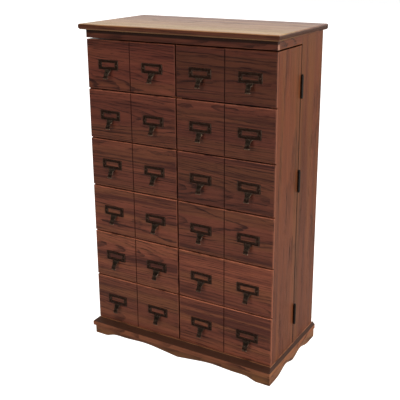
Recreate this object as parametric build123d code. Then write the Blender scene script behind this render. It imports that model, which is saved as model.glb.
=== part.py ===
"""Free-standing cabinet with two deep hinged doors dressed as card-catalog drawers.

The frame is +Z up, with the front towards -Y. The origin is on the floor, under the middle of the
bounding box. All sizes are in millimetres. Every piece is one STEP file in parts/, and identical
fasteners share a file. Depths are given as distances behind the front plane of the doors and turned
into Y by depth(). The left-hand pieces are the right-hand ones mirrored in the YZ plane.
"""
import os
from math import cos, radians, sin

from build123d import *

# Doors
ROW = 150.0                 # height of one row of mock drawer fronts
ROWS = 6
DOOR_WIDTH = 304.0
DOOR_DEPTH = 154.0
CENTRE_GAP = 4.0            # between the two doors
TOP_GAP = 4.5               # between the doors and the header
SEAM = 2.0                  # between the doors and the carcase, filled by the hinge leaves
OUTER_PANEL = 16.0          # outer door sides, carcase sides, deck and carcase top
INNER_PANEL = 12.0          # inner door sides, door tops and door bottoms
FACE_BOARD = 7.0
FACE_GROOVE = 4.0           # open groove between two rows of face boards
BACKING = 4.0
DOOR_SHELF = 10.0
DADO = 3.0
EASED = 1.4                 # chamfer on the face boards' edges
VEE_WIDTH = 3.0             # vertical groove that splits each face board into two drawer fronts
VEE_DEPTH = 2.2

# Carcase
BODY_DEPTH = 149.0
BACK_PANEL = 4.0
BACK_REBATE = 8.0
BODY_SHELF = 15.0
SHELF_PLAY = 0.5
PIN_RADIUS = 2.5
PIN_LENGTH = 16.0

# Top
TOP_BOARD = 16.5
TOP_FRONT_OUT = 20.0
TOP_SIDE_OUT = 13.0
TOP_BACK_OUT = 3.0
TOP_UPPER_ROUND = 4.5
TOP_LOWER_ROUND = 7.0
HEADER_HEIGHT = 24.0
HEADER_BOARD = 12.0

# Base
DOOR_BOTTOM = 54.0
DECK_TOP = 52.0
APRON_HEIGHT = 30.0
APRON_BOARD = 18.0
APRON_FRONT_OUT = 15.5
MOULD_FRONT_OUT = 24.0
MOULD_SIDE_OUT = 9.0
MOULD_EDGE_TOP = 43.5       # where the moulding's weathered top meets its upright edge
BASE_BACK_OUT = 8.0
BLOCK = 30.0
RAIL_FLOOR_GAP = 4.0

# Butt hinges
HINGE_CENTRES = (151.0, 567.0, 838.0)
HINGE_LENGTH = 57.0
KNUCKLES = 5
KNUCKLE_GAP = 0.2
BARREL_RADIUS = 3.6
BARREL_PROUD = 3.9          # barrel axis outside the side panels
HINGE_PIN_RADIUS = 1.6
RUNNING_CLEARANCE = 0.05
LEAF_EDGE = 1.0             # leaf edge set back from the inner face of the panel
FINIAL_RADIUS = 3.3

# Label pulls, in a frame centred on one drawer front: across, up and out from the face
PULL_WIDTH = 71.0
PULL_HEIGHT = 29.0
PULL_PLATE = 2.2
WINDOW_WIDTH = 46.0
WINDOW_HEIGHT = 12.5
TONGUE_THICKNESS = 1.8
TONGUE_SHOULDER = 15.0      # half-width where the tongue leaves the plate
TONGUE_NECK = 7.0           # half-width at the neck
TONGUE_TIP = 8.5            # half-width at the lip
NECK_DROP = 25.0
TIP_DROP = 38.0
TONGUE_REACH = 12.0         # how far the neck stands out from the face
TIP_REACH = 16.5
LIP_RADIUS = 1.7
TONGUE_ANGLE = 30.0         # how steeply the tongue leaves the plate, below horizontal

# Screws: shank radius, length, head radius, head height
PULL_SCREW = (1.3, 7.4, 2.4, 1.3)
HINGE_SCREW = (1.3, 13.0, 2.4, LEAF_EDGE)
BACK_SCREW = (1.2, 16.0, 2.6, 1.2)

# Magnetic catches
CATCH_SPAN = (20.0, 50.0)
CATCH_HEIGHT = 22.0
CATCH_DEPTH = 20.0
CATCH_GAP = 0.3
STRIKE = 1.0

# Worked-out planes
OUTER_X = CENTRE_GAP / 2 + DOOR_WIDTH
CENTRE_X = CENTRE_GAP / 2
BODY_FRONT = DOOR_DEPTH + SEAM
BODY_BACK = BODY_FRONT + BODY_DEPTH
TOTAL_DEPTH = MOULD_FRONT_OUT + BODY_BACK + BASE_BACK_OUT
DOOR_TOP = DOOR_BOTTOM + ROWS * ROW - TOP_GAP
HEADER_BOTTOM = DOOR_BOTTOM + ROWS * ROW
TOP_UNDERSIDE = HEADER_BOTTOM + HEADER_HEIGHT
TOP_FACE = TOP_UNDERSIDE + TOP_BOARD
DECK_BOTTOM = DECK_TOP - OUTER_PANEL
BODY_INNER_X = OUTER_X - OUTER_PANEL
CEILING = TOP_UNDERSIDE - OUTER_PANEL
APRON_SIDE_OUT = APRON_FRONT_OUT * MOULD_SIDE_OUT / MOULD_FRONT_OUT
APRON_INNER_X = OUTER_X + APRON_SIDE_OUT - APRON_BOARD
APRON_INNER_Y = APRON_BOARD - APRON_FRONT_OUT
DOOR_INNER_FRONT = FACE_BOARD + BACKING
COLUMN_WIDTH = DOOR_WIDTH / 2
HINGE_AXIS_X = OUTER_X + BARREL_PROUD
SEAM_MIDDLE = DOOR_DEPTH + SEAM / 2

nodes = {}


def depth(distance):
    """Y of a plane that lies this far behind the front plane of the doors."""
    return MOULD_FRONT_OUT - TOTAL_DEPTH / 2 + distance


def block(x, y, z):
    """Square board between (low, high) limits: X, distance behind the door fronts, and Z."""
    sizes = [high - low for low, high in (x, y, z)]
    return Pos(x[0], depth(y[0]), z[0]) * Box(*sizes, align=(Align.MIN, Align.MIN, Align.MIN))


def group(shapes):
    """Several separate solids that share one node."""
    return Compound(children=[solid for shape in shapes for solid in shape.solids()])


def mirrored(shape):
    """The left-hand copy of a right-hand piece or group."""
    copies = [solid.mirror(Plane.YZ) for solid in shape.solids()]
    return copies[0] if len(copies) == 1 else Compound(children=copies)


def both_sides(left_name, right_name, shape):
    """Keep a right-hand piece and its mirror image."""
    nodes[right_name] = shape
    nodes[left_name] = mirrored(shape)


def screw(size, countersunk=False):
    """Wood screw along -Z from the seat plane z=0, its head above it or sunk flush below it."""
    shank_radius, length, head_radius, head_height = size
    up = (Align.CENTER, Align.CENTER, Align.MIN)
    down = (Align.CENTER, Align.CENTER, Align.MAX)
    shank = Cylinder(shank_radius, length, align=down)
    if countersunk:
        head = Cone(shank_radius, head_radius, head_height, align=down)
    else:
        head = Cylinder(head_radius, head_height, align=up)
        head = fillet(head.edges().group_by(Axis.Z)[-1], 0.8 * head_height)
    return shank + head


def placed(shape, x, y, z, towards):
    """A screw with its seat at a point, driven towards +Y, -Y or +Z."""
    turn = {"+Y": Rot(90, 0, 0), "-Y": Rot(-90, 0, 0), "+Z": Rot(180, 0, 0)}[towards]
    return Pos(x, y, z) * turn * shape


# ---------------------------------------------------------------- top and header

def make_top():
    """Top board with a rounded front and sides, over a rail and two returns that stand above the doors."""
    board = block((-OUTER_X - TOP_SIDE_OUT, OUTER_X + TOP_SIDE_OUT),
                  (-TOP_FRONT_OUT, BODY_BACK + TOP_BACK_OUT), (TOP_UNDERSIDE, TOP_FACE))
    for level, radius in ((-1, TOP_UPPER_ROUND), (0, TOP_LOWER_ROUND)):
        rim = board.edges().group_by(Axis.Z)[level]
        board = fillet(rim.sort_by(Axis.Y)[:-1], radius)
    nodes["top_board"] = board

    header_z = (HEADER_BOTTOM, TOP_UNDERSIDE)
    nodes["header_rail"] = block((-OUTER_X, OUTER_X), (0, HEADER_BOARD), header_z)
    both_sides("header_return_left", "header_return_right",
               block((OUTER_X - HEADER_BOARD, OUTER_X), (HEADER_BOARD, BODY_FRONT), header_z))


# ---------------------------------------------------------------- carcase

def shelf_levels(low, high, thickness):
    """Undersides of the shelves that split a height into one space for each row."""
    clear = (high - low - (ROWS - 1) * thickness) / ROWS
    return [low + (n + 1) * clear + n * thickness for n in range(ROWS - 1)]


def make_carcase():
    """Rear half of the cabinet: sides, top, back, loose shelves and the pins they lie on."""
    body_y = (BODY_FRONT, BODY_BACK)
    inner_y = (BODY_FRONT, BODY_BACK - BACK_PANEL)
    levels = shelf_levels(DECK_TOP, CEILING, BODY_SHELF)

    back_x = BODY_INNER_X + BACK_REBATE
    back = block((-back_x, back_x), (BODY_BACK - BACK_PANEL, BODY_BACK), (DECK_TOP, TOP_UNDERSIDE))
    side = block((BODY_INNER_X, OUTER_X), body_y, (DECK_TOP, TOP_UNDERSIDE)) - back
    ceiling = block((-BODY_INNER_X, BODY_INNER_X), inner_y, (CEILING, TOP_UNDERSIDE))

    inset = 32.0
    pin = Rot(0, 90, 0) * Cylinder(PIN_RADIUS, PIN_LENGTH)
    pins = [Pos(BODY_INNER_X, depth(y), z - PIN_RADIUS) * pin
            for z in levels for y in (BODY_FRONT + inset, BODY_BACK - inset)]

    seat = depth(BODY_BACK)
    edge_x = back_x - BACK_REBATE / 2
    spots = [(edge_x, z) for z in range(120, 960, 200)]
    spots += [(-x, z) for x, z in spots]
    spots += [(x, CEILING + OUTER_PANEL / 2) for x in (-200, 0, 200)]
    back_screws = [placed(screw(BACK_SCREW), x, seat, z, "-Y") for x, z in spots]
    right_screws = group(s for s in back_screws if s.center().X > BODY_INNER_X)

    side -= group(pins)
    side -= right_screws
    both_sides("side_panel_left", "side_panel_right", side)
    nodes["body_top_panel"] = ceiling - group(back_screws[-3:])
    nodes["back_panel"] = back - group(back_screws)
    nodes["back_panel_screws"] = group(back_screws)
    nodes["body_shelf_pins"] = group(pins + [mirrored(p) for p in pins])

    shelf_x = BODY_INNER_X - SHELF_PLAY
    shelf_y = (BODY_FRONT + 1, BODY_BACK - BACK_PANEL - 1)
    nodes["body_shelves"] = group(block((-shelf_x, shelf_x), shelf_y, (z, z + BODY_SHELF)) for z in levels)


# ---------------------------------------------------------------- base

def mitre_region(inner_y):
    """Plan area of the front members: their ends run through the outer and inner corners of the base."""
    slope = MOULD_SIDE_OUT / MOULD_FRONT_OUT
    tip = OUTER_X + MOULD_SIDE_OUT
    inner = OUTER_X - slope * inner_y
    front_y = depth(-MOULD_FRONT_OUT)
    corners = [(-tip, front_y), (tip, front_y), (inner, depth(inner_y)), (-inner, depth(inner_y))]
    return extrude(Polygon(*corners, align=None), 2 * DOOR_BOTTOM)


def scallop(half_outline):
    """Cutter for an apron's foot edge: one half's points, from the middle drop out to the foot."""
    foot = half_outline[-1]
    curve = Spline(*half_outline, tangents=((1, 0.12), (1, 0)))
    edge = curve + mirror(curve, about=Plane.YZ)
    low = -1.0
    rest = Polyline((foot[0], 0), (foot[0], low), (-foot[0], low), (-foot[0], 0))
    face = make_face(edge + rest)
    return extrude(Plane.XZ * face, APRON_BOARD, both=True)


def moulding_profile(out):
    """Base moulding section: weathered top, small round, upright edge. Flat side against the deck."""
    return Polyline((0, APRON_HEIGHT), (out, APRON_HEIGHT), (out, MOULD_EDGE_TOP), (0, DECK_TOP), close=True)


def make_moulding():
    """Mitred moulding around the front and sides of the deck."""
    length = 2 * (OUTER_X + MOULD_SIDE_OUT)
    front = extrude(make_face(moulding_profile(MOULD_FRONT_OUT)), length / 2, both=True)
    front = Pos(0, depth(0), 0) * Rot(0, 0, -90) * Rot(90, 0, 0) * front
    front = front & mitre_region(0)
    side = extrude(make_face(moulding_profile(MOULD_SIDE_OUT)), MOULD_FRONT_OUT + BODY_BACK + BASE_BACK_OUT)
    side = Pos(OUTER_X, depth(BODY_BACK + BASE_BACK_OUT), 0) * Rot(90, 0, 0) * side
    side = side - mitre_region(0)
    nodes["front_moulding"] = front
    both_sides("left_moulding", "right_moulding", side)


def make_aprons():
    """Scalloped aprons that form the feet, with a plain rail behind and glue blocks in the corners."""
    half = OUTER_X + APRON_SIDE_OUT
    front_cut = scallop([(0, 1.6), (60, 9.0), (120, 14.2), (200, 10.6), (245, 7.6), (272, 0)])
    side_cut = scallop([(0, 0.9), (24, 7.0), (53, 13.7), (90, 5.0), (124, 0)])

    region = mitre_region(APRON_INNER_Y)
    front = block((-half, half), (-APRON_FRONT_OUT, APRON_INNER_Y), (0, APRON_HEIGHT))
    front = (front & region) - Pos(0, depth(0), 0) * front_cut
    nodes["front_apron"] = front

    back_y = BODY_BACK + BASE_BACK_OUT
    side = block((APRON_INNER_X, half), (-APRON_FRONT_OUT, back_y), (0, APRON_HEIGHT)) - region
    middle = (back_y - APRON_FRONT_OUT) / 2
    side -= Pos(OUTER_X, depth(middle), 0) * Rot(0, 0, 90) * side_cut
    both_sides("left_apron", "right_apron", side)

    rail_y = (back_y - OUTER_PANEL, back_y)
    nodes["base_back_rail"] = block((-APRON_INNER_X, APRON_INNER_X), rail_y, (RAIL_FLOOR_GAP, DECK_BOTTOM))

    block_x = (APRON_INNER_X - BLOCK, APRON_INNER_X)
    starts = (APRON_INNER_Y, rail_y[0] - BLOCK)
    blocks = [block(block_x, (y, y + BLOCK), (0, DECK_BOTTOM)) for y in starts]
    nodes["corner_blocks"] = group(blocks + [mirrored(b) for b in blocks])


def make_base():
    """Deck that carries the carcase and runs forward under the doors, on its moulding and aprons."""
    nodes["base_deck"] = block((-OUTER_X, OUTER_X), (0, BODY_BACK), (DECK_BOTTOM, DECK_TOP))
    make_moulding()
    make_aprons()


# ---------------------------------------------------------------- hinges

def knuckle_spans(centre):
    """(low, high) of each knuckle, from the bottom up."""
    step = HINGE_LENGTH / KNUCKLES
    low = centre - HINGE_LENGTH / 2
    return [(low + n * step, low + (n + 1) * step - KNUCKLE_GAP) for n in range(KNUCKLES)]


def leaf(centre, spans, panel_side, bore):
    """One hinge leaf: a sheet on the panel's edge and its own knuckles. panel_side is -1 in front."""
    sheet_y = (SEAM_MIDDLE - LEAF_EDGE, SEAM_MIDDLE) if panel_side < 0 else (SEAM_MIDDLE, SEAM_MIDDLE + LEAF_EDGE)
    z = (centre - HINGE_LENGTH / 2, centre + HINGE_LENGTH / 2 - KNUCKLE_GAP)
    body = block((BODY_INNER_X + LEAF_EDGE, OUTER_X - 0.2), sheet_y, z)
    for span in spans:
        tongue = block((OUTER_X - 0.2, HINGE_AXIS_X), sheet_y, span)
        ring = Pos(HINGE_AXIS_X, depth(SEAM_MIDDLE), sum(span) / 2) * Cylinder(BARREL_RADIUS, span[1] - span[0])
        body += tongue + ring
    bore_cut = Pos(HINGE_AXIS_X, depth(SEAM_MIDDLE), centre) * Cylinder(bore, 2 * HINGE_LENGTH)
    return body - bore_cut


def hinge_pin(centre):
    """Pin through the whole barrel with a small ball finial at each end."""
    pin = Cylinder(HINGE_PIN_RADIUS, HINGE_LENGTH + 1.0)
    for end in (-1, 1):
        height = end * (HINGE_LENGTH / 2 + 0.5 * FINIAL_RADIUS + 0.5)
        ball = Pos(0, 0, height) * Sphere(FINIAL_RADIUS)
        keep = Pos(0, 0, end * (HINGE_LENGTH / 2 + 0.3 + FINIAL_RADIUS)) * Box(8, 8, 2 * FINIAL_RADIUS)
        pin += ball & keep
    return Pos(HINGE_AXIS_X, depth(SEAM_MIDDLE), centre) * pin


def hinge_screws(towards):
    """Countersunk screws of all the leaves on one panel edge, flush with the leaves' inner faces."""
    middle = (BODY_INNER_X + OUTER_X) / 2
    pitch = HINGE_LENGTH / 3
    return [placed(screw(HINGE_SCREW, True), middle, depth(SEAM_MIDDLE), centre + n * pitch, towards)
            for centre in HINGE_CENTRES for n in (-1, 0, 1)]


def make_hinges():
    """Three butt hinges a side, with their leaves in the seam. The pins are fast in the door leaves."""
    door_screws = hinge_screws("-Y")
    body_screws = hinge_screws("+Y")
    door_leaves = []
    body_leaves = []
    for centre in HINGE_CENTRES:
        spans = knuckle_spans(centre)
        door_leaves.append(leaf(centre, spans[1::2], -1, HINGE_PIN_RADIUS))
        body_leaves.append(leaf(centre, spans[0::2], 1, HINGE_PIN_RADIUS + RUNNING_CLEARANCE))
    pins = group(hinge_pin(centre) for centre in HINGE_CENTRES)
    door_leaves = group(piece - group(door_screws) for piece in door_leaves)
    body_leaves = group(piece - group(body_screws) for piece in body_leaves)
    both_sides("left_door_hinge_leaves", "right_door_hinge_leaves", door_leaves)
    both_sides("left_door_hinge_pins", "right_door_hinge_pins", pins)
    both_sides("left_door_hinge_screws", "right_door_hinge_screws", group(door_screws))
    nodes["body_hinge_leaves"] = group([body_leaves, mirrored(body_leaves)])
    nodes["body_hinge_screws"] = group([group(body_screws), mirrored(group(body_screws))])
    both_sides("side_panel_left", "side_panel_right", nodes["side_panel_right"] - group(body_screws))


# ---------------------------------------------------------------- label pulls

def tongue_band():
    """Side section of the tongue: out and down from the plate, then flaring to a beaded lip."""
    start = (PULL_PLATE / 2, -PULL_HEIGHT / 2 + 1)
    neck = (TONGUE_REACH, -NECK_DROP)
    tip = (TIP_REACH, -TIP_DROP)
    angle = radians(TONGUE_ANGLE)
    upper = TangentArc(start, neck, tangent=(cos(angle), -sin(angle)))
    lower = TangentArc(neck, tip, tangent=upper % 1)
    lip = Pos(*tip) * Circle(LIP_RADIUS)
    return trace(upper, TONGUE_THICKNESS) + trace(lower, TONGUE_THICKNESS) + lip


def tongue_outline():
    """Front outline of the tongue: wide shoulders, a concave waist and a slightly wider lip."""
    top = -PULL_HEIGHT / 2 + 2
    low = -TIP_DROP - 2 * LIP_RADIUS
    bend = (0.62 * TONGUE_SHOULDER, -PULL_HEIGHT / 2 - 3)
    right = ThreePointArc((TONGUE_SHOULDER, top), bend, (TONGUE_NECK, -NECK_DROP))
    right += Polyline((TONGUE_NECK, -NECK_DROP), (TONGUE_TIP, low), (0, low))
    right += Line((0, top), (TONGUE_SHOULDER, top))
    return make_face(right + mirror(right, about=Plane.YZ))


def label_pull():
    """Card frame and finger pull in one casting. Local X across, Y out from the face, Z up."""
    plate = RectangleRounded(PULL_WIDTH, PULL_HEIGHT, 2.5) - RectangleRounded(WINDOW_WIDTH, WINDOW_HEIGHT, 1.0)
    plate = extrude(Plane.XZ * plate, -PULL_PLATE)
    plate = chamfer(plate.edges().group_by(Axis.Y)[-1], 0.5)
    band = extrude(Plane.YZ * tongue_band(), TONGUE_SHOULDER, both=True)
    mask = extrude(Plane.XZ * tongue_outline(), -2 * TIP_REACH)
    return plate + (band & mask)


def pull_sites():
    """Centre of each drawer front of the right door, as (x, z)."""
    sites = []
    for row in range(ROWS):
        z = DOOR_BOTTOM + (ROWS - row - 0.5) * ROW
        sites += [(CENTRE_X + (column + 0.5) * COLUMN_WIDTH, z) for column in (0, 1)]
    return sites


def make_pulls():
    """One label pull and two screws for each drawer front."""
    screw_x = (PULL_WIDTH + WINDOW_WIDTH) / 4
    shape = Rot(0, 0, 180) * label_pull()
    pulls = []
    screws = []
    for x, z in pull_sites():
        pulls.append(Pos(x, depth(0), z) * shape)
        screws += [placed(screw(PULL_SCREW), x + side * screw_x, depth(-PULL_PLATE), z, "+Y") for side in (-1, 1)]
    pulls = group(piece - group(screws[2 * n:2 * n + 2]) for n, piece in enumerate(pulls))
    both_sides("left_door_label_pulls", "right_door_label_pulls", pulls)
    both_sides("left_door_pull_screws", "right_door_pull_screws", group(screws))


# ---------------------------------------------------------------- doors

def face_board(row):
    """Drawer-front board for one row, with eased edges and a vertical V-groove in its middle."""
    bottom = DOOR_BOTTOM + (ROWS - 1 - row) * ROW
    low = bottom + (FACE_GROOVE / 2 if row < ROWS - 1 else 0)
    high = min(bottom + ROW - FACE_GROOVE / 2, DOOR_TOP)
    board = block((CENTRE_X, OUTER_X), (0, FACE_BOARD), (low, high))
    board = chamfer(board.edges().group_by(Axis.Y)[0], EASED)
    vee = Polygon((-VEE_WIDTH / 2, 0), (VEE_WIDTH / 2, 0), (0, VEE_DEPTH), align=None)
    middle = CENTRE_X + COLUMN_WIDTH
    return board - Pos(middle, depth(0), low - 1) * extrude(vee, high - low + 2)


def make_doors():
    """Deep box doors, open at the back, with fixed shelves let into dadoes in their sides."""
    box_y = (FACE_BOARD, DOOR_DEPTH)
    door_z = (DOOR_BOTTOM, DOOR_TOP)
    inner_x = (CENTRE_X + INNER_PANEL, BODY_INNER_X)
    low, high = DOOR_BOTTOM + INNER_PANEL, DOOR_TOP - INNER_PANEL
    screws = nodes["right_door_pull_screws"]

    for row in range(ROWS):
        name = f"door_face_board_{row + 1}"
        both_sides(f"left_{name}", f"right_{name}", face_board(row) - screws)

    shelf_x = (inner_x[0] - DADO, inner_x[1] + DADO)
    shelf_y = (DOOR_INNER_FRONT, DOOR_DEPTH - 4)
    shelves = group(block(shelf_x, shelf_y, (z, z + DOOR_SHELF)) for z in shelf_levels(low, high, DOOR_SHELF))
    outer = block((BODY_INNER_X, OUTER_X), box_y, door_z) - shelves - nodes["right_door_hinge_screws"]
    inner = block((CENTRE_X, inner_x[0]), box_y, door_z) - shelves
    strike_z = (high + STRIKE / 2, DOOR_TOP - STRIKE / 2)

    both_sides("left_door_shelves", "right_door_shelves", shelves)
    both_sides("left_door_outer_side", "right_door_outer_side", outer)
    both_sides("left_door_inner_side", "right_door_inner_side", inner)
    both_sides("left_door_top", "right_door_top", block(inner_x, box_y, (high, DOOR_TOP)))
    both_sides("left_door_bottom", "right_door_bottom", block(inner_x, box_y, (DOOR_BOTTOM, low)))
    both_sides("left_door_backing", "right_door_backing", block(inner_x, (FACE_BOARD, DOOR_INNER_FRONT), (low, high)))
    both_sides("left_door_strike_plate", "right_door_strike_plate",
               block(CATCH_SPAN, (DOOR_DEPTH, DOOR_DEPTH + STRIKE), strike_z))


def make_catches():
    """Magnetic catches hung under the carcase top, one behind each door's strike plate."""
    front = DOOR_DEPTH + STRIKE + CATCH_GAP
    catch = block(CATCH_SPAN, (front, front + CATCH_DEPTH), (CEILING - CATCH_HEIGHT, CEILING))
    catch = chamfer(catch.edges().group_by(Axis.Z)[0], 1.5)
    nodes["magnetic_catches"] = group([catch, mirrored(catch)])


make_top()
make_carcase()
make_base()
make_hinges()
make_pulls()
make_doors()
make_catches()

os.makedirs("parts", exist_ok=True)
for name, shape in nodes.items():
    export_step(shape, f"parts/{name}.step")
print(len(nodes), "nodes")
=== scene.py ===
"""The look of a disc cabinet whose two deep doors are dressed as card-catalog drawers.

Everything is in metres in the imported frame: +Z up, the front towards -Y. The script follows the cabinet
as it is put together, from the base up, one section for each piece or group of like pieces.
"""
import math

import bpy
import numpy as np
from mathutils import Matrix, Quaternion, Vector


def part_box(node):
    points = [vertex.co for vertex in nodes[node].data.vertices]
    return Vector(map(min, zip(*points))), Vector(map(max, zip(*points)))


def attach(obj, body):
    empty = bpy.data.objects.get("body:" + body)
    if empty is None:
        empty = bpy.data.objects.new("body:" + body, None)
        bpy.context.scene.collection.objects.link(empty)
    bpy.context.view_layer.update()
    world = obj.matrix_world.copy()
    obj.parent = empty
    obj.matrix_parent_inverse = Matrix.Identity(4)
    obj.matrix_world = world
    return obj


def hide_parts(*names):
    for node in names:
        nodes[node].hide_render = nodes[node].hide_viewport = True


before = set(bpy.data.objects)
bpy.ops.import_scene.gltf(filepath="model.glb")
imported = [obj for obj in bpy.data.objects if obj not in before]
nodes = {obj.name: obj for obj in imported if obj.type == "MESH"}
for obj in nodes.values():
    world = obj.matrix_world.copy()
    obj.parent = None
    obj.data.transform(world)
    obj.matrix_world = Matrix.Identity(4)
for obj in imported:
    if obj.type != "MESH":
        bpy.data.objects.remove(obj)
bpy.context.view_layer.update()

# ======================================================================================= the studio
# A pale floor that runs back to a white ground, a strong soft light from the right, weaker ones from
# overhead and the front left, and a bright surround behind that the lacquered top picks up.

CAMERA_PLACE = (1.0808, -1.8364, 1.2042)
CAMERA_TURN = 30.689        # degrees round from straight in front, towards the cabinet's right side
CAMERA_DIP = 16.431         # degrees below the horizon
CAMERA_ROLL = -0.363        # degrees
CAMERA_LENS = 66.20
CAMERA_SHIFT = -0.09


def make_camera():
    """Camera on a direction worked out from its turn and dip: it looks along minus that direction."""
    turn, dip = math.radians(CAMERA_TURN), math.radians(CAMERA_DIP)
    back = Vector((math.sin(turn) * math.cos(dip), -math.cos(turn) * math.cos(dip), math.sin(dip)))
    data = bpy.data.cameras.new("camera")
    data.lens = CAMERA_LENS
    data.shift_y = CAMERA_SHIFT
    data.clip_end = 30
    camera = bpy.data.objects.new("camera", data)
    camera.location = CAMERA_PLACE
    camera.rotation_mode = "QUATERNION"
    level = (-back).to_track_quat("-Z", "Y")
    camera.rotation_quaternion = level @ Quaternion((0, 0, 1), math.radians(CAMERA_ROLL))
    bpy.context.scene.collection.objects.link(camera)
    bpy.context.scene.camera = camera


def soft_light(name, place, aim, width, height, power, mirrored=True):
    """Rectangular area light at a place, turned to face its aim. It doesn't show to the camera, and only
    shows in the lacquer if it is mirrored."""
    data = bpy.data.lights.new(name, "AREA")
    data.shape = "RECTANGLE"
    data.size, data.size_y = width, height
    data.energy = power
    light = bpy.data.objects.new(name, data)
    light.location = place
    light.rotation_mode = "QUATERNION"
    light.rotation_quaternion = (Vector(aim) - Vector(place)).to_track_quat("-Z", "Y")
    light.visible_camera = False
    light.visible_glossy = mirrored
    bpy.context.scene.collection.objects.link(light)


def make_world():
    """White to the camera. To everything else a dim surround that is brighter behind the cabinet."""
    world = bpy.data.worlds.new("white_ground")
    world.use_nodes = True
    tree = world.node_tree
    tree.nodes.clear()
    seen = tree.nodes.new("ShaderNodeBackground")
    seen.inputs["Color"].default_value = (1, 1, 1, 1)
    seen.inputs["Strength"].default_value = 1.0
    surround = tree.nodes.new("ShaderNodeBackground")
    where = tree.nodes.new("ShaderNodeTexCoord")
    split = tree.nodes.new("ShaderNodeSeparateXYZ")
    ramp = tree.nodes.new("ShaderNodeValToRGB")
    ramp.color_ramp.elements[0].position = 0.35
    ramp.color_ramp.elements[0].color = (0.02, 0.02, 0.02, 1)
    ramp.color_ramp.elements[1].position = 0.80
    ramp.color_ramp.elements[1].color = (0.92, 0.86, 0.78, 1)
    half = tree.nodes.new("ShaderNodeMapRange")
    half.inputs["From Min"].default_value = -1
    tree.links.new(where.outputs["Generated"], split.inputs[0])
    tree.links.new(split.outputs["Y"], half.inputs["Value"])
    tree.links.new(half.outputs["Result"], ramp.inputs["Fac"])
    tree.links.new(ramp.outputs["Color"], surround.inputs["Color"])
    path = tree.nodes.new("ShaderNodeLightPath")
    mix = tree.nodes.new("ShaderNodeMixShader")
    out = tree.nodes.new("ShaderNodeOutputWorld")
    tree.links.new(path.outputs["Is Camera Ray"], mix.inputs["Fac"])
    tree.links.new(surround.outputs[0], mix.inputs[1])
    tree.links.new(seen.outputs[0], mix.inputs[2])
    tree.links.new(mix.outputs[0], out.inputs["Surface"])
    bpy.context.scene.world = world


def make_floor():
    """Large pale floor, bright enough to melt into the ground behind it."""
    reach = 14.0
    mesh = bpy.data.meshes.new("floor")
    corners = [(-reach, -reach, 0), (reach, -reach, 0), (reach, reach, 0), (-reach, reach, 0)]
    mesh.from_pydata(corners, [], [(0, 1, 2, 3)])
    floor = bpy.data.objects.new("floor", mesh)
    bpy.context.scene.collection.objects.link(floor)
    paint = bpy.data.materials.new("pale_floor")
    paint.use_nodes = True
    tree = paint.node_tree
    shader = tree.nodes["Principled BSDF"]
    shader.inputs["Base Color"].default_value = (0.40, 0.37, 0.34, 1)
    shader.inputs["Roughness"].default_value = 0.9
    glow = tree.nodes.new("ShaderNodeEmission")
    glow.inputs["Strength"].default_value = 1.2
    lit = tree.nodes.new("ShaderNodeAddShader")
    path = tree.nodes.new("ShaderNodeLightPath")
    pick = tree.nodes.new("ShaderNodeMixShader")
    tree.links.new(shader.outputs[0], lit.inputs[0])
    tree.links.new(glow.outputs[0], lit.inputs[1])
    tree.links.new(path.outputs["Is Camera Ray"], pick.inputs["Fac"])
    tree.links.new(shader.outputs[0], pick.inputs[1])
    tree.links.new(lit.outputs[0], pick.inputs[2])
    tree.links.new(pick.outputs[0], tree.nodes["Material Output"].inputs["Surface"])
    mesh.materials.append(paint)


make_camera()
make_world()
make_floor()
soft_light("key", place=(3.5, -1.0, 1.20), aim=(0, 0, 0.40), width=1.8, height=1.8, power=74)
soft_light("overhead", place=(0.2, -0.5, 2.7), aim=(0, 0, 0.9), width=1.6, height=1.2, power=30,
           mirrored=False)
soft_light("fill", place=(-1.2, -3.4, 1.5), aim=(0, 0, 0.5), width=2.4, height=2.0, power=39,
           mirrored=False)
bpy.context.scene.view_settings.view_transform = "Standard"

# ==================================================================================== base and deck
# The deck runs the full depth under the doors. A mitred moulding hides its edges, and scalloped aprons
# with glue blocks behind them form the feet. All of it is red oak under a red-brown stain and lacquer.


def new_group(name, inputs, outputs):
    """Empty shader node group with named sockets; inputs are (name, kind, value)."""
    group = bpy.data.node_groups.new(name, "ShaderNodeTree")
    for socket, kind, value in inputs:
        made = group.interface.new_socket(socket, in_out="INPUT", socket_type=kind)
        if value is not None:
            made.default_value = value
    for socket, kind in outputs:
        group.interface.new_socket(socket, in_out="OUTPUT", socket_type=kind)
    return group


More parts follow.
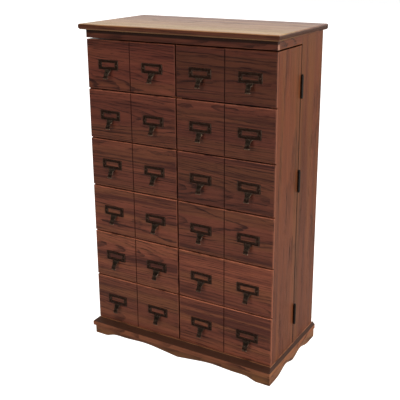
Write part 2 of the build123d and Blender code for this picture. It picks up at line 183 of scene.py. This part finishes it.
class Graph:
    """Short way to write a node tree: each call adds one node, sets values or links, and gives its output."""

    def __init__(self, tree):
        self.tree = tree

    def add(self, kind, output=0, settings=None, **sockets):
        """Node of a kind. Settings are its properties, sockets its inputs by name or s0, s1 by number."""
        node = self.tree.nodes.new(kind)
        for key, value in (settings or {}).items():
            setattr(node, key, value)
        for key, value in sockets.items():
            if key[0] == "s" and key[1:].isdigit():
                socket = node.inputs[int(key[1:])]
            else:
                socket = node.inputs[key.replace("_", " ")]
            if isinstance(value, bpy.types.NodeSocket):
                self.tree.links.new(value, socket)
            else:
                socket.default_value = value
        return node.outputs[output]

    def math(self, operation, a, b=0.0, clamp=False):
        """One Math node."""
        return self.add("ShaderNodeMath", settings={"operation": operation, "use_clamp": clamp}, s0=a, s1=b)

    def vector(self, operation, a, b=(0, 0, 0)):
        """One Vector Math node."""
        return self.add("ShaderNodeVectorMath", settings={"operation": operation}, s0=a, s1=b)

    def noise(self, vector, scale, detail=2.0, roughness=0.5):
        """Noise around 0.5 at a vector."""
        return self.add("ShaderNodeTexNoise", Vector=vector, Scale=scale, Detail=detail, Roughness=roughness)

    def smooth(self, value, low, high):
        """Smooth step of a value from 0 at low to 1 at high."""
        settings = {"interpolation_type": "SMOOTHSTEP"}
        return self.add("ShaderNodeMapRange", settings=settings, Value=value, From_Min=low, From_Max=high)

    def mix(self, factor, a, b, blend="MIX"):
        """Colour mix of a and b."""
        node = self.tree.nodes.new("ShaderNodeMix")
        node.data_type = "RGBA"
        node.blend_type = blend
        for socket, value in ((node.inputs[0], factor), (node.inputs[6], a), (node.inputs[7], b)):
            if isinstance(value, bpy.types.NodeSocket):
                self.tree.links.new(value, socket)
            else:
                socket.default_value = value if isinstance(value, float) else (*value, 1)[:4]
        return node.outputs[2]


def make_oak_group():
    """Sawn oak. The board is a cut through a log whose rings are circles round a slightly tilted pith:
    ring number = distance from the pith line / ring width, both bent by noise drawn out along the grain.
    Pores are short dashes, thickest in each ring's first wood. Streak is the slow change between boards'
    paler and darker bands."""
    group = new_group("sawn_oak",
                      [("Place", "NodeSocketVector", None), ("Pith Depth", "NodeSocketFloat", 0.08),
                       ("Pith Side", "NodeSocketFloat", 0.0), ("Tilt", "NodeSocketFloat", 0.05),
                       ("Ring Width", "NodeSocketFloat", 0.005), ("Waviness", "NodeSocketFloat", 0.02),
                       ("Streak Size", "NodeSocketFloat", 0.03)],
                      [("Ring", "NodeSocketFloat"), ("Pores", "NodeSocketFloat"),
                       ("Streak", "NodeSocketFloat"), ("Warmth", "NodeSocketFloat")])
    g = Graph(group)
    given = group.nodes.new("NodeGroupInput").outputs
    end = group.nodes.new("NodeGroupOutput").inputs
    place = given["Place"]
    slow = g.noise(g.vector("MULTIPLY", place, (1.8, 8.0, 8.0)), 1.0, 3.0)
    bend = g.math("MULTIPLY", g.math("SUBTRACT", slow, 0.5), given["Waviness"])
    ripple = g.noise(g.vector("MULTIPLY", place, (11.0, 45.0, 45.0)), 1.0, 3.0)
    ripple = g.math("MULTIPLY", g.math("SUBTRACT", ripple, 0.5), 0.008)
    parts = group.nodes.new("ShaderNodeSeparateXYZ")
    group.links.new(place, parts.inputs[0])
    along, across, deep = parts.outputs
    side = g.math("ADD", g.math("SUBTRACT", across, given["Pith Side"]), bend)
    down = g.math("ADD", g.math("ADD", deep, given["Pith Depth"]), g.math("MULTIPLY", along, given["Tilt"]))
    down = g.math("ADD", g.math("ADD", down, bend), ripple)
    radius = g.math("SQRT", g.math("ADD", g.math("MULTIPLY", side, side), g.math("MULTIPLY", down, down)))
    count = g.math("DIVIDE", radius, given["Ring Width"])
    uneven = g.add("ShaderNodeTexNoise", settings={"noise_dimensions": "1D"}, W=count, Scale=0.45, Detail=2.0)
    count = g.math("ADD", count, g.math("MULTIPLY", uneven, 1.6))
    turn = g.math("FRACT", count)
    early = g.math("MULTIPLY", g.smooth(turn, 0.45, 0.92), g.math("SUBTRACT", 1.0, g.smooth(turn, 0.93, 1.0)))
    each = g.add("ShaderNodeTexWhiteNoise", settings={"noise_dimensions": "1D"}, W=g.math("FLOOR", count))
    strong = g.math("ADD", g.math("MULTIPLY", each, 0.75), 0.25)
    patchy = g.smooth(g.noise(g.vector("MULTIPLY", place, (5.0, 30.0, 30.0)), 1.0, 2.0), 0.28, 0.62)
    ring = g.math("MULTIPLY", early, g.math("MULTIPLY", strong, patchy))
    fine = g.noise(g.vector("MULTIPLY", place, (40.0, 900.0, 900.0)), 1.0, 2.0, 0.6)
    coarse = g.noise(g.vector("MULTIPLY", place, (15.0, 300.0, 300.0)), 1.0, 2.0, 0.6)
    long_lines = g.noise(g.vector("MULTIPLY", place, (5.0, 230.0, 230.0)), 1.0, 3.0, 0.6)
    dashes = g.math("MAXIMUM", g.smooth(fine, 0.55, 0.68), g.smooth(coarse, 0.56, 0.68))
    dashes = g.math("MAXIMUM", dashes, g.smooth(long_lines, 0.57, 0.66))
    pores = g.math("MULTIPLY", dashes, g.math("ADD", g.math("MULTIPLY", early, 0.65), 0.35))
    broad = g.math("DIVIDE", 1.0, given["Streak Size"])
    stretch = g.add("ShaderNodeCombineXYZ", s0=g.math("MULTIPLY", broad, 0.035), s1=broad, s2=broad)
    streak = g.noise(g.vector("MULTIPLY", g.vector("ADD", place, (0, 3.1, 0)), stretch), 1.0, 5.0, 0.72)
    warmth = g.noise(g.vector("MULTIPLY", g.vector("ADD", place, (0, 7.7, 0)), stretch), 0.6, 2.0, 0.5)
    for name, value in (("Ring", ring), ("Pores", pores), ("Streak", streak), ("Warmth", warmth)):
        group.links.new(value, end[name])
    return group


def make_arris_group():
    """Painted highlight along the edges of a square board, broken into patches by noise. The three distances
    to the box's nearest faces are sorted by minimum and maximum, and the middle one is the distance to the
    nearest edge."""
    group = new_group("rubbed_arris",
                      [("Point", "NodeSocketVector", None), ("Middle", "NodeSocketVector", None),
                       ("Half", "NodeSocketVector", None), ("Width", "NodeSocketFloat", 0.0015)],
                      [("Edge", "NodeSocketFloat")])
    g = Graph(group)
    given = group.nodes.new("NodeGroupInput").outputs
    end = group.nodes.new("NodeGroupOutput").inputs
    reach = g.vector("ABSOLUTE", g.vector("SUBTRACT", given["Point"], given["Middle"]))
    parts = group.nodes.new("ShaderNodeSeparateXYZ")
    group.links.new(g.vector("SUBTRACT", given["Half"], reach), parts.inputs[0])
    x, y, z = parts.outputs
    middle = g.math("MAXIMUM", g.math("MINIMUM", x, y), g.math("MINIMUM", g.math("MAXIMUM", x, y), z))
    patch = g.noise(given["Point"], 30.0, 3.0)
    near = g.smooth(middle, given["Width"], g.math("MULTIPLY", given["Width"], 0.6))
    group.links.new(g.math("MULTIPLY", near, g.smooth(patch, 0.28, 0.52)), end["Edge"])
    return group


oak_group = make_oak_group()
arris_group = make_arris_group()
X, Y, Z = 0, 1, 2


def stained_oak(name, node, grain, face, seed, stain, ring_width=0.006, pith=(0.08, 0.0), tilt=0.05,
                waviness=0.03, figure=1.0, streaks=0.5, streak_size=0.03, rub=0.5, rub_width=0.0015,
                gloss=0.34, coat=0.15, glaze=None, end_stain=None, edge_tone=None, far_stain=None,
                grooved=False, dark_face=False, seam=None, pore_tone=0.6):
    """Stained and lacquered oak for one board. grain and face are the axes along the grain and through
    the thickness. stain is the colour on plain wood, and the pores, rings and end grain take it darker.
    glaze is a height band above which the colour is painted near black as shade. end_stain is the
    colour of the end grain, edge_tone scales the colour on the narrow faces as painted shade, and
    far_stain is a darker colour painted towards the back as shade. A grooved board has painted shade
    below its face, dark_face paints near-black shade on the low side of the face axis only, and
    seam is the depth beside which the faces are painted dark as shade in a gap. rub and
    rub_width give a painted highlight along the edges. pore_tone is how dark the pores are."""
    low, high = (Vector(corner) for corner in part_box(node))
    middle, half = (low + high) / 2, (high - low) / 2
    across = ({0, 1, 2} - {grain, face}).pop()
    material = bpy.data.materials.new(name)
    material.use_nodes = True
    tree = material.node_tree
    shader = tree.nodes["Principled BSDF"]
    g = Graph(tree)
    point = g.add("ShaderNodeTexCoord", output=3)
    parts = tree.nodes.new("ShaderNodeSeparateXYZ")
    tree.links.new(point, parts.inputs[0])
    centred = [g.math("SUBTRACT", parts.outputs[axis], middle[axis]) for axis in (grain, across, face)]
    centred[0] = g.math("ADD", centred[0], 0.73 * seed)
    place = g.add("ShaderNodeCombineXYZ", s0=centred[0], s1=centred[1], s2=centred[2])
    oak = tree.nodes.new("ShaderNodeGroup")
    oak.node_tree = oak_group
    tree.links.new(place, oak.inputs["Place"])
    # the tilt is about the board's own middle, so the seed's shift along the grain is taken off the depth
    oak.inputs["Pith Depth"].default_value = pith[0] - tilt * 0.73 * seed
    oak.inputs["Pith Side"].default_value = pith[1]
    oak.inputs["Tilt"].default_value = tilt
    oak.inputs["Ring Width"].default_value = ring_width
    oak.inputs["Waviness"].default_value = waviness
    oak.inputs["Streak Size"].default_value = streak_size
    ring, pores, streak, warmth = oak.outputs
    arris = tree.nodes.new("ShaderNodeGroup")
    arris.node_tree = arris_group
    tree.links.new(point, arris.inputs["Point"])
    arris.inputs["Middle"].default_value = middle
    arris.inputs["Half"].default_value = half
    arris.inputs["Width"].default_value = rub_width

    normal = tree.nodes.new("ShaderNodeSeparateXYZ")
    tree.links.new(g.add("ShaderNodeTexCoord", output=1), normal.inputs[0])
    ends = g.math("ABSOLUTE", normal.outputs[grain])
    end_grain = g.smooth(ends, 0.90, 0.96)
    pale = [1.45 * stain[0], 1.55 * stain[1], 1.45 * stain[2]]
    deep = [0.44 * stain[0], 0.38 * stain[1], 0.44 * stain[2]]
    dark = [0.22 * stain[0], 0.20 * stain[1], 0.24 * stain[2]]
    orange = [1.08 * stain[0], 1.30 * stain[1], 1.05 * stain[2]]
    base = g.mix(g.smooth(warmth, 0.44, 0.58), stain, orange)
    # painted shade: the colour runs darker towards the back, where the sheen on the lacquer is weaker
    if far_stain:
        away = g.math("ADD", parts.outputs[Y], g.math("MULTIPLY", g.math("SUBTRACT", warmth, 0.5), 0.25))
        base = g.mix(g.smooth(away, low[1] + 0.02, high[1] - 0.03), base, far_stain)
    base = g.mix(g.math("MULTIPLY", g.smooth(streak, 0.50, 0.63), streaks), base, deep)
    base = g.mix(g.math("MULTIPLY", g.smooth(streak, 0.50, 0.37), 0.8 * streaks), base, pale)
    lines = g.math("ADD", g.math("MULTIPLY", ring, figure), g.math("MULTIPLY", pores, pore_tone), clamp=True)
    base = g.mix(lines, base, dark)
    dull = 0.0
    if grooved:
        # painted shade: deeper than the front face and on the board's ends, where the grooves are in shade,
        # the colour goes dark
        sunk = g.smooth(g.math("SUBTRACT", parts.outputs[face], low[face]), 0.0013, 0.0018)
        sunk = g.math("MAXIMUM", sunk, g.smooth(ends, 0.5, 0.75))
        base = g.mix(g.math("MULTIPLY", sunk, 0.85), base, [0.20 * c for c in stain])
        dull = g.math("MULTIPLY", sunk, 0.5)
        outer = g.smooth(g.math("ABSOLUTE", parts.outputs[X]), 0.0025, 0.0030)
        end_grain = g.math("MULTIPLY", end_grain, outer)
    if dark_face:
        # painted shade: the low side of the face axis, seen only through the grooves, goes near black
        shown = g.smooth(g.math("SUBTRACT", parts.outputs[face], low[face]), 0.0006, 0.0003)
        base = g.mix(shown, base, (0.012, 0.005, 0.004))
    base = g.mix(g.math("MULTIPLY", end_grain, 0.8), base, end_stain or [0.5 * c for c in stain])
    if seam is not None:
        # painted shade: faces beside the seam depth go dark, as shade in the gap between door and carcase
        beside = g.smooth(g.math("ABSOLUTE", g.math("SUBTRACT", parts.outputs[Y], seam)), 0.0055, 0.0030)
        beside = g.math("MULTIPLY", beside, g.smooth(g.math("ABSOLUTE", normal.outputs[face]), 0.4, 0.7))
        base = g.mix(g.math("MULTIPLY", beside, 0.85), base, [0.12 * c for c in stain])
    if edge_tone:
        # painted shade: the narrow faces are scaled darker than the broad faces
        narrow = g.smooth(g.math("ABSOLUTE", normal.outputs[face]), 0.7, 0.4)
        base = g.mix(narrow, base, g.mix(1.0, base, edge_tone, "MULTIPLY"))
    if glaze:
        # painted shade: above a given height the colour goes nearly black, for the moulding's shaded slope
        # and the shadow under the top's overhang
        band = g.smooth(parts.outputs[Z], glaze[0], glaze[1])
        base = g.mix(g.math("MULTIPLY", band, 0.96), base, [0.14 * c for c in stain])
    # painted highlight: pale along the edges, strongest where they face up
    upward = g.math("ADD", g.math("MULTIPLY", g.smooth(normal.outputs[Z], 0.0, 0.6), 0.7), 0.3)
    worn = g.math("MULTIPLY", g.math("MULTIPLY", arris.outputs["Edge"], upward), rub)
    base = g.mix(worn, base, (2.5 * stain[0] + 0.04, 2.9 * stain[1] + 0.02, 2.8 * stain[2] + 0.01))
    tree.links.new(base, shader.inputs["Base Color"])
    rough = g.math("ADD", g.math("ADD", g.math("MULTIPLY", pores, 0.25), gloss), dull, clamp=True)
    tree.links.new(rough, shader.inputs["Roughness"])
    height = g.math("MULTIPLY", g.math("ADD", pores, g.math("MULTIPLY", ring, 0.4)), -1.0)
    bump = g.add("ShaderNodeBump", Height=height, Strength=0.5, Distance=0.0004)
    tree.links.new(bump, shader.inputs["Normal"])
    shader.inputs["Specular IOR Level"].default_value = 0.4
    shader.inputs["Coat Weight"].default_value = coat
    if grooved:
        bright = g.math("SUBTRACT", 0.5, dull)
        tree.links.new(g.math("MULTIPLY", bright, 2 * coat), shader.inputs["Coat Weight"])
    shader.inputs["Coat Roughness"].default_value = 0.25
    return material


def finish_board(node, *args, **kwargs):
    """Gives one CAD board its own stained oak."""
    material = stained_oak(f"oak_{node}", node, *args, **kwargs)
    nodes[node].data.materials.clear()
    nodes[node].data.materials.append(material)


BASE_STAIN = (0.270, 0.092, 0.041)
MOULDING_STAIN = (0.32, 0.108, 0.052)
# The moulding's top slope, above this height band, is painted nearly black as shade.
MOULDING_GLAZE = (0.0425, 0.0445)
finish_board("base_deck", X, Z, 1, BASE_STAIN)
finish_board("front_moulding", X, Y, 2, MOULDING_STAIN, glaze=MOULDING_GLAZE, rub=0.3, coat=0.0, gloss=0.6)
finish_board("left_moulding", Y, X, 3, MOULDING_STAIN, glaze=MOULDING_GLAZE, rub=0.3, coat=0.0, gloss=0.6)
finish_board("right_moulding", Y, X, 4, MOULDING_STAIN, glaze=MOULDING_GLAZE, rub=0.3, coat=0.0, gloss=0.6)
finish_board("front_apron", X, Y, 5, BASE_STAIN, streaks=0.4, figure=0.7, pore_tone=0.45)
finish_board("left_apron", Y, X, 6, BASE_STAIN)
finish_board("right_apron", Y, X, 7, BASE_STAIN)
finish_board("base_back_rail", X, Y, 8, BASE_STAIN)
finish_board("corner_blocks", Z, Y, 9, BASE_STAIN)

# ========================================================================================== carcase
# Rear half of the cabinet: two veneered sides with upright grain, a top panel, loose shelves on pins and
# a thin hardboard back screwed into a rebate. The inside has a thinner, flatter stain.

CASE_STAIN = (0.182, 0.048, 0.0190)
# The sides are painted dark beside this seam depth and on their narrow faces, as shade in the gap.
HINGE_SEAM = 0.0105
INSIDE_STAIN = (0.36, 0.19, 0.11)
for number, side in enumerate(("left", "right")):
    finish_board(f"side_panel_{side}", Z, X, 11 + number, CASE_STAIN, pith=(0.30, 0.05), ring_width=0.012,
                 tilt=0.02, figure=0.4, pore_tone=0.7, streaks=0.5, streak_size=0.025, coat=0.05,
                 edge_tone=(0.55, 0.50, 0.50), seam=HINGE_SEAM)
finish_board("body_top_panel", X, Z, 13, INSIDE_STAIN, coat=0.0, gloss=0.5)
finish_board("body_shelves", X, Z, 14, INSIDE_STAIN, coat=0.0, gloss=0.5)


def make_hardboard():
    """Pressed brown fibre: two noises of different size give its mottle, and the finer of them also the
    canvas-like dimples.
    """
    material = bpy.data.materials.new("hardboard")
    material.use_nodes = True
    tree = material.node_tree
    shader = tree.nodes["Principled BSDF"]
    g = Graph(tree)
    point = g.add("ShaderNodeTexCoord", output=3)
    clouds = g.noise(point, 6.0, 4.0, 0.6)
    fibres = g.noise(point, 240.0, 4.0, 0.7)
    color = g.mix(g.smooth(clouds, 0.3, 0.7), (0.16, 0.085, 0.045), (0.21, 0.115, 0.065))
    color = g.mix(g.smooth(fibres, 0.45, 0.75), color, (0.10, 0.05, 0.028))
    tree.links.new(color, shader.inputs["Base Color"])
    dimples = g.add("ShaderNodeBump", Height=fibres, Strength=0.3, Distance=0.0004)
    tree.links.new(dimples, shader.inputs["Normal"])
    shader.inputs["Roughness"].default_value = 0.62
    return material


nodes["back_panel"].data.materials.clear()
nodes["back_panel"].data.materials.append(make_hardboard())

# =================================================================================== header and top
# A dark rail across the front above the doors with short returns back to the sides, and the overhanging
# top, glued up from oak boards and rounded over at its front and ends. A painted shadow band runs along
# the rail's top under the overhang.

HEADER_STAIN = (0.145, 0.040, 0.022)
# painted shadow: the rail's top few millimetres, under the top's overhang, go nearly black
HEADER_GLAZE = (0.966, 0.969)
finish_board("header_rail", X, Y, 16, HEADER_STAIN, streaks=0.9, end_stain=(0.55, 0.27, 0.18),
             glaze=HEADER_GLAZE)
for number, side in enumerate(("left", "right")):
    finish_board(f"header_return_{side}", Y, X, 17 + number, CASE_STAIN, rub=0.8, rub_width=0.002)
# The top's narrow faces are painted darker than its broad face, and its colour darker towards the back, both
# as shade where the lacquer catches less light.
TOP_STAIN = (0.35, 0.18, 0.075)
TOP_BACK_STAIN = (0.11, 0.012, 0.015)
finish_board("top_board", X, Z, 19, TOP_STAIN, pith=(0.12, 0.04), ring_width=0.008, figure=0.6, coat=0.3,
             pore_tone=0.6, streaks=0.4, rub=0.0, edge_tone=(0.33, 0.20, 0.26), far_stain=TOP_BACK_STAIN)
lacquer = nodes["top_board"].data.materials[0].node_tree.nodes["Principled BSDF"]
lacquer.inputs["Specular Tint"].default_value = (1.0, 0.84, 0.72, 1)
lacquer.inputs["Coat Tint"].default_value = (1.0, 0.88, 0.80, 1)

# ============================================================================================ doors
# Two deep boxes, open at the back, hung on the carcase. Six solid boards cross each front, one to a row,
# with a V-groove down the middle so that each looks like two drawers, and a backing behind the grooves.

FACE_STAIN = (0.158, 0.038, 0.0228)
DOOR_SHADES = {"left": (0.96, 0.95, 1.07, 1.36, 1.48, 1.34), "right": (0.63, 0.84, 0.85, 1.12, 1.48, 1.57)}
ROWS = 6
for number, side in enumerate(("left", "right")):
    for row in range(ROWS):
        shade = DOOR_SHADES[side][row]
        stain = (FACE_STAIN[0] * shade, FACE_STAIN[1] * shade * (1 + 0.025 * row), FACE_STAIN[2] * shade)
        seed = 20 + 6 * number + row
        # The face boards carry painted shade in their grooves and a painted highlight along their up-facing
        # edges.
        finish_board(f"{side}_door_face_board_{row + 1}", X, Y, seed, stain,
                     pith=(0.05 + 0.02 * (seed % 3), 0.03 * ((seed * 7) % 5 - 2)),
                     tilt=0.07 - 0.03 * (seed % 4), waviness=0.022, rub=0.85, rub_width=0.0030, streaks=1.0,
                     figure=1.0, pore_tone=1.2, end_stain=(0.30, 0.11, 0.06), grooved=True)
    # The outer side is painted dark beside the seam and on its narrow faces as shade in the gap, with a
    # painted highlight along its edges.
    finish_board(f"{side}_door_outer_side", Z, X, 33 + number, CASE_STAIN, pith=(0.30, 0.05),
                 ring_width=0.012, tilt=0.02, figure=0.4, pore_tone=0.9, streaks=0.6,
                 streak_size=0.025, coat=0.05, rub=0.7, rub_width=0.0018,
                 edge_tone=(0.55, 0.50, 0.50), seam=HINGE_SEAM)
    finish_board(f"{side}_door_inner_side", Z, X, 35 + number, CASE_STAIN)
    finish_board(f"{side}_door_top", X, Z, 37 + number, CASE_STAIN)
    finish_board(f"{side}_door_bottom", X, Z, 39 + number, CASE_STAIN)
    finish_board(f"{side}_door_shelves", X, Z, 41 + number, INSIDE_STAIN, coat=0.0, gloss=0.5)
    # The backing's face, seen through the grooves, is painted near black as shade.
    finish_board(f"{side}_door_backing", Z, Y, 43 + number, INSIDE_STAIN, coat=0.0, gloss=0.5, dark_face=True)

# ====================================================================================== label pulls
# One cast piece on each false drawer: a card frame with a raised bead round its window and rim, and a
# finger pull that leaves its lower edge, curves out and down and ends in a rolled lip. Browned brass,
# rubbed back to yellow where fingers touch it. Two round-headed screws hold it.


def grid_faces(rows, columns):
    """Quads of a grid of vertices whose columns close round: vertex = row * columns + column."""
    row, column = np.meshgrid(np.arange(rows - 1), np.arange(columns), indexing="ij")
    following = (column + 1) % columns
    corners = (row * columns + column, row * columns + following,
               (row + 1) * columns + following, (row + 1) * columns + column)
    return np.stack(corners, axis=-1).reshape(-1, 4)


def outward(points, faces):
    """Faces turned so that six times the signed volume, the sum of a . (b x c) over triangles, is above 0."""
    total = 0.0
    for face in ((0, 1, 2), (0, 2, 3)):
        a, b, c = (points[faces[:, corner]] for corner in face)
        total += np.einsum("ij,ij->i", a, np.cross(b, c)).sum()
    return faces if total > 0 else faces[:, ::-1]


def rounded_box(half_width, half_height, radius, steps=7):
    """Rounded rectangle as corner centre + radius (cos a, sin a), each corner turning through 90 degrees."""
    angle = np.radians(np.add.outer(90 * np.arange(4), np.linspace(0, 90, steps)))
    sign_x = np.array([1, -1, -1, 1])[:, None]
    sign_z = np.array([1, 1, -1, -1])[:, None]
    x = sign_x * (half_width - radius) + radius * np.cos(angle)
    z = sign_z * (half_height - radius) + radius * np.sin(angle)
    return x.ravel(), z.ravel()


def card_frame():
    """Frame surface P(s, u) = (1 - s) inner(u) + s outer(u), standing h(s) off the wood. h is a low web
    with a bead at each side: 1.3 + 0.8 exp(-((s - 0.13) / 0.09)^2) + 0.8 exp(-((s - 0.87) / 0.09)^2)."""
    s = np.concatenate([[0.0], np.linspace(0.0, 1.0, 25), [1.0, 0.0]])
    beads = np.exp(-(((s - 0.13) / 0.09) ** 2)) + np.exp(-(((s - 0.87) / 0.09) ** 2))
    edge = np.clip(np.minimum(s, 1 - s) / 0.06, 0, 1)
    h = (1.3 + 0.8 * beads) * (0.55 + 0.45 * np.sqrt(1 - (1 - edge) ** 2))
    h[[0, -2, -1]] = 0.0
    inner_x, inner_z = rounded_box(23.0, 6.25, 1.0)
    outer_x, outer_z = rounded_box(35.4, 14.4, 2.5)
    x = np.outer(1 - s, inner_x) + np.outer(s, outer_x)
    z = np.outer(1 - s, inner_z) + np.outer(s, outer_z)
    points = np.stack([x, np.outer(-h, np.ones_like(inner_x)), z], axis=-1).reshape(-1, 3)
    wear = np.repeat(0.25 * beads * (h > 0), inner_x.size)
    faces = grid_faces(s.size, inner_x.size)
    return points, outward(points, faces), wear


def finger_pull():
    """Tongue round a curve: drop = 13 + 26.7 t, out = 1.1 + 15.8 (1 - (1 - t)^1.7), half-width
    7 + 8 exp(-t / 0.16) + 1.5 t^4. Its section is a flattened oval, dished in front, and the last of it
    swells to a lip and closes."""
    lip = 0.93 + 0.07 * np.sin(np.linspace(0.1, np.pi / 2, 7))
    t = np.concatenate([[0.0], np.linspace(0.0, 0.93, 30), lip])
    fall = 26.7
    drop = 13.0 + fall * t
    out = 1.1 + 15.8 * (1 - (1 - t) ** 1.7)
    slope_out = np.gradient(out, t + 1e-6 * np.arange(t.size))
    length = np.hypot(slope_out, fall)
    close = np.sqrt(np.clip(1 - ((t - 0.93) / 0.0701).clip(0) ** 2, 0, 1))
    close[[0, -1]] = 0.0
    width = (7.0 + 8.0 * np.exp(-t / 0.16) + 1.5 * t ** 4) * (0.75 + 0.25 * close)
    thick = (0.85 + 0.75 * np.exp(-(((t - 0.94) / 0.05) ** 2))) * close
    v = np.linspace(0, 2 * np.pi, 25)[:-1]
    flat_x = np.sign(np.cos(v)) * np.abs(np.cos(v)) ** 0.7
    flat_n = np.sign(np.sin(v)) * np.abs(np.sin(v)) ** 0.7
    x = np.outer(width, flat_x)
    off = np.outer(thick, flat_n) - np.outer(0.9 * np.sin(np.pi * t), 1 - flat_x ** 2)
    y = -(out[:, None] + off * (fall / length)[:, None])
    z = -(drop[:, None] - off * (slope_out / length)[:, None])
    points = np.stack([x, np.minimum(y, -0.05), z], axis=-1).reshape(-1, 3)
    rubbed = np.exp(-(((t - 0.32) / 0.22) ** 2)) + 0.8 * np.exp(-(((t - 0.95) / 0.08) ** 2))
    wear = np.outer(2.4 * rubbed, 0.5 + 0.5 * flat_n).ravel()
    faces = grid_faces(t.size, v.size)
    return points, outward(points, faces), wear


def screw_head():
    """Round head with a slot: height = 1.3 sqrt(1 - r^2 / 2.4^2), cut 0.6 deep where |x| < 0.4."""
    r = np.concatenate([np.linspace(0.0, 1.0, 14), [1.0, 0.0]])
    a = np.linspace(0, 2 * np.pi, 49)[:-1]
    x = np.outer(2.4 * r, np.cos(a))
    z = np.outer(2.4 * r, np.sin(a))
    rise = np.outer(1.3 * np.sqrt(np.clip(1 - r ** 2, 0, 1)) + 0.25, np.ones_like(a))
    cut = 0.6 * (np.abs(x * 0.8 + z * 0.6) < 0.4) * (r < 0.95)[:, None]
    y = -1.3 - np.maximum(rise - cut, 0.05)
    y[-2:] = -1.3
    points = np.stack([x, y, z], axis=-1).reshape(-1, 3)
    faces = grid_faces(r.size, a.size)
    return points, outward(points, faces), np.full(len(points), 0.25)


def join(pieces):
    """Several (points, faces, wear) as one, each piece's faces counted on from the vertices before it."""
    starts = np.cumsum([0] + [len(points) for points, _, _ in pieces[:-1]])
    return (np.concatenate([points for points, _, _ in pieces]),
            np.concatenate([faces + start for (_, faces, _), start in zip(pieces, starts)]),
            np.concatenate([wear for _, _, wear in pieces]))


def repeated(piece, places):
    """One piece at each place: points + place, in millimetres."""
    points, faces, wear = piece
    places = np.asarray(places, dtype=float)
    many = (points[None] + places[:, None]).reshape(-1, 3)
    counted = (faces[None] + len(points) * np.arange(len(places))[:, None, None]).reshape(-1, 4)
    return many, counted, np.tile(wear, len(places))


def add_piece(name, piece, body, stands_for, material):
    """Mesh object from (points in millimetres, quads, wear), smooth shaded, riding on its body."""
    points, faces, wear = piece
    mesh = bpy.data.meshes.new(name)
    mesh.from_pydata((points / 1000).tolist(), [], faces.tolist())
    mesh.attributes.new("wear", "FLOAT", "POINT").data.foreach_set("value", wear.astype(np.float32))
    mesh.validate()
    mesh.polygons.foreach_set("use_smooth", [True] * len(mesh.polygons))
    mesh.materials.append(material)
    thing = bpy.data.objects.new(name, mesh)
    bpy.context.scene.collection.objects.link(thing)
    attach(thing, body)
    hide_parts(*stands_for)


def browned_brass():
    """Brown patina over brass. The wear attribute and noise bring the metal through, and the patina is
    duller and rougher."""
    material = bpy.data.materials.new("browned_brass")
    material.use_nodes = True
    tree = material.node_tree
    shader = tree.nodes["Principled BSDF"]
    g = Graph(tree)
    wear = g.add("ShaderNodeAttribute", output=2, settings={"attribute_name": "wear"})
    point = g.add("ShaderNodeTexCoord", output=3)
    patch = g.noise(point, 160.0, 3.0, 0.6)
    bare = g.math("MULTIPLY", wear, g.smooth(patch, 0.30, 0.62), clamp=True)
    patina = g.mix(patch, (0.018, 0.007, 0.0045), (0.060, 0.027, 0.017))
    color = g.mix(g.math("MULTIPLY", bare, 0.75), patina, (0.50, 0.35, 0.25))
    tree.links.new(color, shader.inputs["Base Color"])
    tree.links.new(g.math("ADD", g.math("MULTIPLY", bare, 0.3), 0.7, clamp=True), shader.inputs["Metallic"])
    tree.links.new(g.math("SUBTRACT", 0.48, g.math("MULTIPLY", bare, 0.20)), shader.inputs["Roughness"])
    pitting = g.add("ShaderNodeBump", Height=patch, Strength=0.25, Distance=0.0003)
    tree.links.new(pitting, shader.inputs["Normal"])
    return material


ROW_HEIGHT = 150.0
DOOR_LOW = 54.0
FRONT = -144.5
PULL_COLUMNS = (78, 230)
SCREW_REACH = 29.25
brass = browned_brass()
pull = join([card_frame(), finger_pull()])
for side, sign in (("left", -1), ("right", 1)):
    levels = [DOOR_LOW + ROW_HEIGHT * (row + 0.5) for row in range(ROWS)]
    sites = [(sign * across, FRONT, level) for level in levels for across in PULL_COLUMNS]
    heads = [(x + offset, y, z) for x, y, z in sites for offset in (-SCREW_REACH, SCREW_REACH)]
    add_piece(f"{side}_pulls", repeated(pull, sites), f"{side}_door",
              [f"{side}_door_label_pulls"], brass)
    add_piece(f"{side}_pull_screw_heads", repeated(screw_head(), heads), f"{side}_door",
              [f"{side}_door_pull_screws"], brass)

# ============================================================================ hinges and other metal
# Three black butt hinges join each door to the carcase, their barrels standing just outside the seam.
# Inside are plated shelf pins and screws, the catches' striking plates and brown plastic catches.


def plain_finish(name, color, metallic, roughness, mottle):
    """Metal or plastic whose colour and roughness shift a little with noise."""
    material = bpy.data.materials.new(name)
    material.use_nodes = True
    tree = material.node_tree
    shader = tree.nodes["Principled BSDF"]
    g = Graph(tree)
    patch = g.noise(g.add("ShaderNodeTexCoord", output=3), 90.0, 3.0, 0.6)
    tree.links.new(g.mix(patch, [c * (1 - mottle) for c in color], [c * (1 + mottle) for c in color]),
                   shader.inputs["Base Color"])
    tree.links.new(g.math("ADD", g.math("MULTIPLY", patch, 0.2), roughness - 0.1), shader.inputs["Roughness"])
    shader.inputs["Metallic"].default_value = metallic
    return material


black_iron = plain_finish("black_iron", (0.020, 0.017, 0.015), 0.6, 0.48, 0.4)
plated_steel = plain_finish("plated_steel", (0.42, 0.41, 0.39), 1.0, 0.35, 0.15)
brown_plastic = plain_finish("brown_plastic", (0.060, 0.032, 0.020), 0.0, 0.42, 0.15)
for name, thing in nodes.items():
    if "hinge" in name:
        finish = black_iron
    elif name == "magnetic_catches":
        finish = brown_plastic
    elif "strike" in name or "screw" in name or "pins" in name:
        finish = plated_steel
    elif "pull" in name:
        finish = brass
    else:
        continue
    thing.data.materials.clear()
    thing.data.materials.append(finish)
